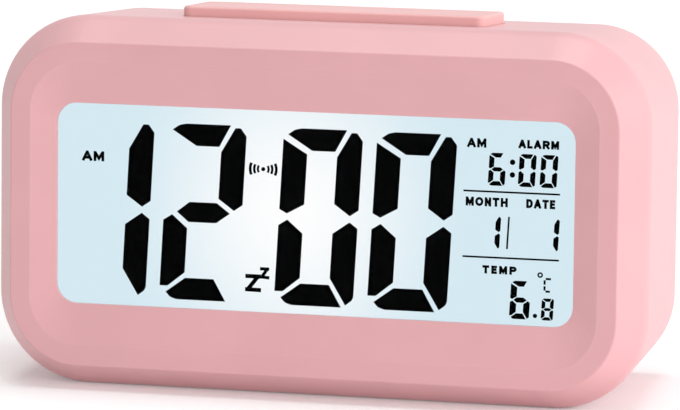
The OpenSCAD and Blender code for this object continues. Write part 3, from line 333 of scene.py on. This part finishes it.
# Width of each letter against that of A, and the lines of its strokes in a box of width and height 1
BOWL = arc(0.6, 0.74, 0.4, 0.26, 90, -90)
LETTERS = {
    "A": (1.0, [[(0, 0), (0.46, 1)], [(1, 0), (0.54, 1)], [(0.25, 0.28), (0.75, 0.28)]]),
    "D": (0.92, [[(0, 0), (0, 1)], [(0, 1)] + arc(0.45, 0.5, 0.55, 0.5, 90, -90) + [(0, 0)]]),
    "E": (0.74, [[(1, 1), (0, 1), (0, 0), (1, 0)], [(0, 0.52), (0.86, 0.52)]]),
    "H": (0.92, [[(0, 0), (0, 1)], [(1, 0), (1, 1)], [(0, 0.52), (1, 0.52)]]),
    "L": (0.72, [[(0, 1), (0, 0), (1, 0)]]),
    "M": (1.06, [[(0, 0), (0, 1)], [(0.1, 0.9), (0.5, 0.18), (0.9, 0.9)], [(1, 1), (1, 0)]]),
    "N": (0.84, [[(0, 0), (0, 1)], [(0.12, 0.88), (0.88, 0.12)], [(1, 0), (1, 1)]]),
    "O": (1.06, [arc(0.5, 0.5, 0.5, 0.5, 0, 360, 24)]),
    "P": (0.95, [[(0, 0), (0, 1)] + BOWL + [(0, 0.48)]]),
    "R": (0.97, [[(0, 0), (0, 1)] + BOWL + [(0, 0.48)], [(0.55, 0.4), (0.95, 0)]]),
    "T": (0.88, [[(0, 1), (1, 1)], [(0.5, 1), (0.5, 0)]]),
}


def is_closed(points):
    return (points[0] - points[-1]).length < SAME_PLACE


def stroke_sides(points, width):
    """Steps from each point of a line to the left side of a stroke, mitred at its turns."""
    runs = [(after - before).normalized() for before, after in zip(points, points[1:])]
    first, last = (runs[-1], runs[0]) if is_closed(points) else (runs[0], runs[-1])
    sides = []
    for run_in, run_out in zip([first] + runs, runs + [last]):
        across = (run_in + run_out).normalized().orthogonal()
        sides.append(across * (width / 2 / across.dot(run_in.orthogonal())))
    return sides


def lengthened(points, reach):
    """A line with both ends carried on, unless it is closed."""
    if is_closed(points):
        return points
    start = points[0] + (points[0] - points[1]).normalized() * reach
    end = points[-1] + (points[-1] - points[-2]).normalized() * reach
    return [start] + points[1:-1] + [end]


def add_stroke(bm, line, width):
    """Thin flat bar of even width along a line of points, with square ends half a width beyond them."""
    points = lengthened([Vector(point) for point in line], width / 2)
    rings = []
    for point, side in zip(points, stroke_sides(points, width)):
        left, right = point + side, point - side
        corners = [(left, MARK_FRONT), (right, MARK_FRONT), (right, MARK_BACK), (left, MARK_BACK)]
        rings.append([bm.verts.new((corner.x, corner.y, height)) for corner, height in corners])
    for near, far in zip(rings, rings[1:]):
        for k in range(len(near)):
            bm.faces.new((near[k], near[k - 1], far[k - 1], far[k]))
    bm.faces.new(rings[0])
    bm.faces.new(rings[-1][::-1])


def add_dot(bm, x, z, radius, steps=20):
    """Thin round plate."""
    edge = arc(x, z, radius, radius, 0, 360 - 360 / steps, steps - 1)
    front = [bm.verts.new((px, pz, MARK_FRONT)) for px, pz in edge]
    back = [bm.verts.new((px, pz, MARK_BACK)) for px, pz in edge]
    bm.faces.new(front)
    bm.faces.new(back[::-1])
    for k in range(steps):
        bm.faces.new((front[k], front[k - 1], back[k - 1], back[k]))


def place_mark(name, bm):
    """Turns a drawing in millimetres, X right and Y up, into a piece of the stroke layer."""
    bmesh.ops.recalc_face_normals(bm, faces=bm.faces)
    mesh = bpy.data.meshes.new(name)
    bm.to_mesh(mesh)
    bm.free()
    place = Matrix((FACE_RIGHT, FACE_UP, FACE_OUT)).transposed().to_4x4()
    place.translation = LAYER
    mesh.transform(place @ Matrix.Scale(MM, 4))
    mesh.materials.append(FINISHES["ink"])
    mark = bpy.data.objects.new(name, mesh)
    bpy.context.scene.collection.objects.link(mark)
    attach(mark, "case")


def caption(name, word, left, right, z, height, gap, stroke=CAPTION_STROKE):
    """A word in plain stroke letters between two places, its letters that far apart."""
    shares = [LETTERS[letter][0] for letter in word]
    unit = (right - left - gap * (len(word) - 1)) / sum(shares)
    low = z - height / 2 + stroke / 2
    bm = bmesh.new()
    x = left
    for letter, share in zip(word, shares):
        width = unit * share
        start = x + stroke / 2
        for line in LETTERS[letter][1]:
            points = [(start + px * (width - stroke), low + pz * (height - stroke)) for px, pz in line]
            add_stroke(bm, points, stroke)
        x += width + gap
    place_mark(name, bm)


def alarm_sign(x, z):
    """Sounding sign: a dot between two sets of three curved strokes."""
    bm = bmesh.new()
    add_dot(bm, x, z, radius=0.42)
    for radius, spread, width in ((1.12, 25, 0.45), (1.88, 21, 0.5), (2.72, 20, 0.56)):
        for middle in (0, 180):
            add_stroke(bm, arc(x, z, radius, radius, middle - spread, middle + spread), width)
    place_mark("alarm_sign", bm)


def snooze_sign(x, z):
    """Resting sign: a large Z with a small one at its upper right."""
    bm = bmesh.new()
    for line in (
        [(x - 2.75, z), (x - 0.35, z)],
        [(x - 0.65, z - 0.15), (x - 2.55, z - 2.55)],
        [(x - 2.8, z - 2.7), (x - 0.3, z - 2.75)],
    ):
        add_stroke(bm, line, width=0.84)
    for line in (
        [(x + 0.2, z + 1.6), (x + 1.45, z + 1.6)],
        [(x + 1.3, z + 1.45), (x + 0.35, z + 0.1)],
        [(x - 0.35, z), (x + 1.5, z - 0.15)],
    ):
        add_stroke(bm, line, width=0.66)
    place_mark("snooze_sign", bm)


def degree_sign(x, z):
    """Small ring, and a C made of four separate strokes."""
    bm = bmesh.new()
    ring_r = 0.41
    add_stroke(bm, arc(x, z, ring_r, ring_r, 0, 360, 20), width=0.32)
    left, top, low = x + 0.93, z - 0.73, z - 3.25
    for line in (
        [(left + 0.42, top), (left + 1.07, top)],
        [(left, top - 0.48), (left, top - 0.95)],
        [(left, low + 0.85), (left, low + 0.4)],
        [(left + 0.42, low), (left + 0.88, low)],
    ):
        add_stroke(bm, line, width=0.42)
    place_mark("degree_sign", bm)


def draw_display_marks():
    """Words between their left and right ends, and signs at their middles."""
    caption("caption_morning", "AM", -48.85, -44.19, z=9.47, height=2.02, gap=0.3, stroke=0.58)
    caption("caption_alarm_morning", "AM", 31.07, 34.97, z=15.45, height=1.84, gap=0.28)
    caption("caption_alarm", "ALARM", 41.49, 49.69, z=15.58, height=1.7, gap=0.26)
    caption("caption_month", "MONTH", 30.95, 39.51, z=3.74, height=1.8, gap=0.28)
    caption("caption_date", "DATE", 43.25, 49.11, z=3.76, height=1.8, gap=0.24)
    caption("caption_temperature", "TEMP", 34.57, 41.53, z=-9.8, height=1.65, gap=0.45)
    alarm_sign(-10.82, 8.31)
    snooze_sign(-11.15, -13.5)
    degree_sign(46.32, -10.41)


# Camera at the photograph's viewing angle, from a fit to the case's edges

# Width of the picture in pixels, and of the sensor in millimetres
FRAME_W = 680
SENSOR_W = 36
# Focal length, and how far the lens axis lies right of and below the picture's middle, in pixels
FOCAL_PX = 4977.2
AXIS_RIGHT_PX = -3.811
AXIS_DOWN_PX = -2.301
VIEW_TURN = math.radians(14.651)
VIEW_RISE = math.radians(10.05)
VIEW_DISTANCE = 1.012857
VIEW_TARGET = Vector((0, -0.00445, 0.037))
NEAR_CLIP = 0.05
FAR_CLIP = 50


def place_camera():
    outward = Vector((
        math.sin(VIEW_TURN) * math.cos(VIEW_RISE),
        -math.cos(VIEW_TURN) * math.cos(VIEW_RISE),
        math.sin(VIEW_RISE),
    ))
    lens = bpy.data.cameras.new("camera")
    lens.sensor_width = SENSOR_W
    lens.lens = SENSOR_W * FOCAL_PX / FRAME_W
    lens.shift_x = -AXIS_RIGHT_PX / FRAME_W
    lens.shift_y = AXIS_DOWN_PX / FRAME_W
    lens.clip_start = NEAR_CLIP
    lens.clip_end = FAR_CLIP
    camera = bpy.data.objects.new("camera", lens)
    camera.location = VIEW_TARGET + outward * VIEW_DISTANCE
    camera.rotation_mode = "QUATERNION"
    camera.rotation_quaternion = (-outward).to_track_quat("-Z", "Y")
    bpy.context.scene.collection.objects.link(camera)
    bpy.context.scene.camera = camera


# Studio: white surroundings, a pale floor that keeps the shadow, and soft lamps

FLOOR_SIZE = 8
FLOOR_CELLS = 8
FLOOR_SHOWN = (0.93, 0.93, 0.93, 1)
FLOOR_BOUNCE = (0.95, 0.92, 0.92, 1)
# Light that the shown floor adds to the lamps' light: at the clock, and beyond their reach
FLOOR_LIFT = 0.16
FLOOR_FAR_LIFT = 0.67
FLOOR_FADE = 2.0
WHITE = (1, 1, 1, 1)
# Strength of the surroundings as light, and where they are seen
AMBIENT = 0.34
SHOWN_LEVEL = 1
# Name, direction from the clock, distance, size and level of each lamp, and whether reflections show it
LAMPS = [
    ("key_lamp", (0.75, -0.65, 0.20), 1.6, 1.2, 0.61, False),
    ("side_lamp", (1.00, 0.08, 0.20), 1.6, 1.2, 0.55, False),
    ("top_lamp", (0.00, 0.05, 1.00), 1.5, 0.9, 0.49, True),
    ("fill_lamp", (-0.80, -0.60, 0.20), 1.6, 1.2, 0.08, False),
]


def studio_node(tree, kind, **inputs):
    """Adds a node of the studio and sets its inputs by name."""
    made = tree.nodes.new(kind)
    for key, value in inputs.items():
        made.inputs[key].default_value = value
    return made


def choose(tree, share, first, second):
    """Shader that is the first where the share is 0, and the second where it is 1."""
    choice = tree.nodes.new("ShaderNodeMixShader")
    tree.links.new(share, choice.inputs["Fac"])
    tree.links.new(first, choice.inputs[1])
    tree.links.new(second, choice.inputs[2])
    return choice.outputs["Shader"]


def shows_surroundings(tree):
    """1 for rays that show the surroundings: from the camera, in a reflection or through glass."""
    path = tree.nodes.new("ShaderNodeLightPath")
    found = path.outputs["Is Camera Ray"]
    for kind in ("Is Glossy Ray", "Is Transmission Ray"):
        either = tree.nodes.new("ShaderNodeMath")
        either.operation = "MAXIMUM"
        tree.links.new(found, either.inputs[0])
        tree.links.new(path.outputs[kind], either.inputs[1])
        found = either.outputs["Value"]
    return found


def fading_lift(tree):
    """Strength that rises with the distance from the clock, so that the floor fades into white."""
    place = tree.nodes.new("ShaderNodeTexCoord")
    shrink = studio_node(tree, "ShaderNodeMapping", Scale=(1 / FLOOR_FADE,) * 3)
    tree.links.new(place.outputs["Object"], shrink.inputs["Vector"])
    nearness = tree.nodes.new("ShaderNodeTexGradient")
    nearness.gradient_type = "SPHERICAL"
    tree.links.new(shrink.outputs["Vector"], nearness.inputs["Vector"])
    strength = tree.nodes.new("ShaderNodeMapRange")
    strength.inputs["To Min"].default_value = FLOOR_FAR_LIFT
    strength.inputs["To Max"].default_value = FLOOR_LIFT
    tree.links.new(nearness.outputs["Fac"], strength.inputs["Value"])
    return strength.outputs["Result"]


def floor_material():
    """Lifted to white where it is seen, and a plain pale surface for the light that it throws back."""
    material = bpy.data.materials.new("pale_floor")
    material.use_nodes = True
    tree = material.node_tree
    tree.nodes.remove(tree.nodes["Principled BSDF"])
    bounced = studio_node(tree, "ShaderNodeBsdfDiffuse", Color=FLOOR_BOUNCE)
    shown = studio_node(tree, "ShaderNodeBsdfDiffuse", Color=FLOOR_SHOWN)
    lift = studio_node(tree, "ShaderNodeEmission", Color=WHITE)
    tree.links.new(fading_lift(tree), lift.inputs["Strength"])
    lifted = tree.nodes.new("ShaderNodeAddShader")
    tree.links.new(shown.outputs["BSDF"], lifted.inputs[0])
    tree.links.new(lift.outputs["Emission"], lifted.inputs[1])
    surface = choose(tree, shows_surroundings(tree), bounced.outputs["BSDF"], lifted.outputs["Shader"])
    tree.links.new(surface, tree.nodes["Material Output"].inputs["Surface"])
    return material


def lay_floor():
    bm = bmesh.new()
    bmesh.ops.create_grid(bm, x_segments=FLOOR_CELLS, y_segments=FLOOR_CELLS, size=FLOOR_SIZE / 2)
    mesh = bpy.data.meshes.new("floor")
    bm.to_mesh(mesh)
    bm.free()
    mesh.materials.append(floor_material())
    floor = bpy.data.objects.new("floor", mesh)
    bpy.context.scene.collection.objects.link(floor)


def light_surroundings():
    """White all round where it is seen, and dimmer as a light on the clock."""
    world = bpy.data.worlds.new("studio")
    bpy.context.scene.world = world
    world.use_nodes = True
    tree = world.node_tree
    ambient = tree.nodes["Background"]
    ambient.inputs["Color"].default_value = WHITE
    ambient.inputs["Strength"].default_value = AMBIENT
    shown = studio_node(tree, "ShaderNodeBackground", Color=WHITE, Strength=SHOWN_LEVEL)
    surface = choose(
        tree, shows_surroundings(tree), ambient.outputs["Background"], shown.outputs["Background"]
    )
    tree.links.new(surface, tree.nodes["World Output"].inputs["Surface"])


def hang_lamp(name, direction, distance, size, level, reflected):
    """Square soft lamp; level 1 lights a facing surface so that its colour shows as written.

    A low lamp stays out of reflections, so that no pale face clips to white where it is seen
    at a flat angle.
    """
    aim = Vector(direction).normalized()
    data = bpy.data.lights.new(name, "AREA")
    data.shape = "SQUARE"
    data.size = size
    data.energy = level * (math.pi * distance) ** 2
    lamp = bpy.data.objects.new(name, data)
    lamp.location = VIEW_TARGET + aim * distance
    lamp.rotation_mode = "QUATERNION"
    lamp.rotation_quaternion = aim.to_track_quat("Z", "Y")
    lamp.visible_glossy = reflected
    bpy.context.scene.collection.objects.link(lamp)


def set_studio():
    lay_floor()
    light_surroundings()
    for lamp in LAMPS:
        hang_lamp(*lamp)
    bpy.context.scene.view_settings.view_transform = "Standard"


dress_nodes()
draw_display_marks()
place_camera()
set_studio()
